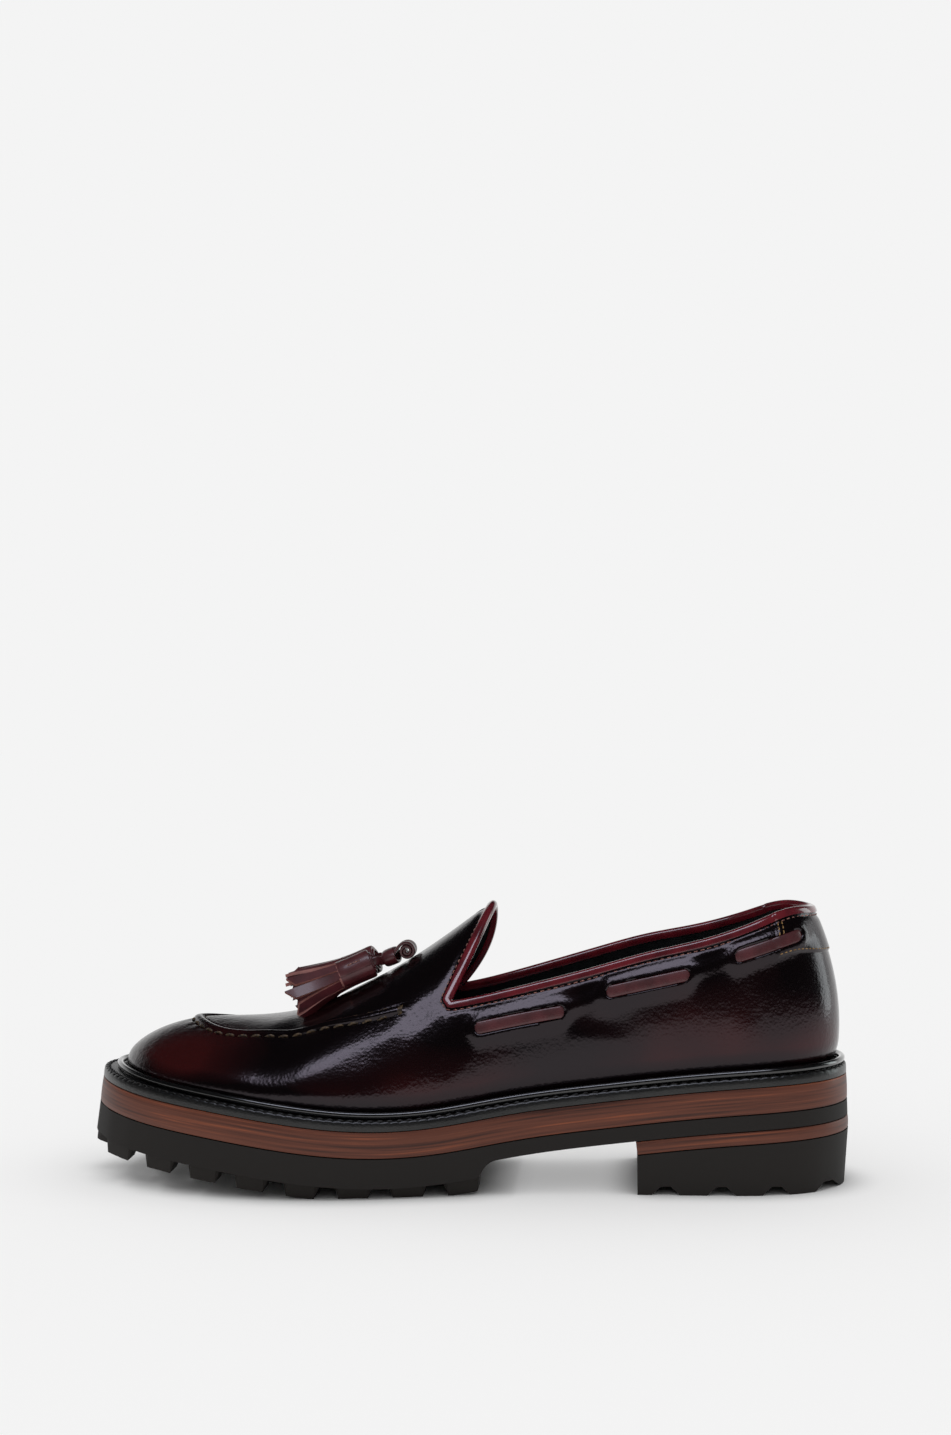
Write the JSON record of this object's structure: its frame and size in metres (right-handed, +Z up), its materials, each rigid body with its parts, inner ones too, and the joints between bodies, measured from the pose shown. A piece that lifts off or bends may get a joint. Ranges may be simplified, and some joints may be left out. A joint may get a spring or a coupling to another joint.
{
  "type": "tassel loafer",
  "caption": "Left tassel loafer with moccasin apron, bound collar, lace windows, stacked edge and lugged rubber sole and heel.",
  "frame": {"origin": "on the floor under the middle of the sole's plan", "axes": "+X towards the toe, +Y towards the wearer's left, the outer side of this left shoe, +Z up"},
  "size_m": [0.2727, 0.096, 0.0985],
  "materials": {
    "rubber": "matt moulded",
    "stacked_leather": "burnished stacked edge",
    "black_leather": "waxed",
    "polished_leather": "high shine polished",
    "lining_leather": "smooth lining",
    "binding_leather": "glossy edge binding",
    "lace_leather": "semi-matt lace"
  },
  "bodies": {
    "root": {"outsole": "rubber", "heel_block": "rubber", "heel_lift": "stacked_leather", "midsole": "stacked_leather", "welt": "black_leather", "rand": "black_leather", "insole": "lining_leather", "upper": "polished_leather", "collar_binding": "binding_leather", "lace_bar_lateral_1": "lace_leather", "lace_bar_lateral_2": "lace_leather", "lace_bar_lateral_3": "lace_leather", "lace_bar_medial_1": "lace_leather", "lace_bar_medial_2": "lace_leather", "lace_bar_medial_3": "lace_leather", "lace_knot": "lace_leather", "lace_neck_lateral": "lace_leather", "tassel_lateral": "lace_leather", "lace_neck_medial": "lace_leather", "tassel_medial": "lace_leather"}
  },
  "joints": []
}
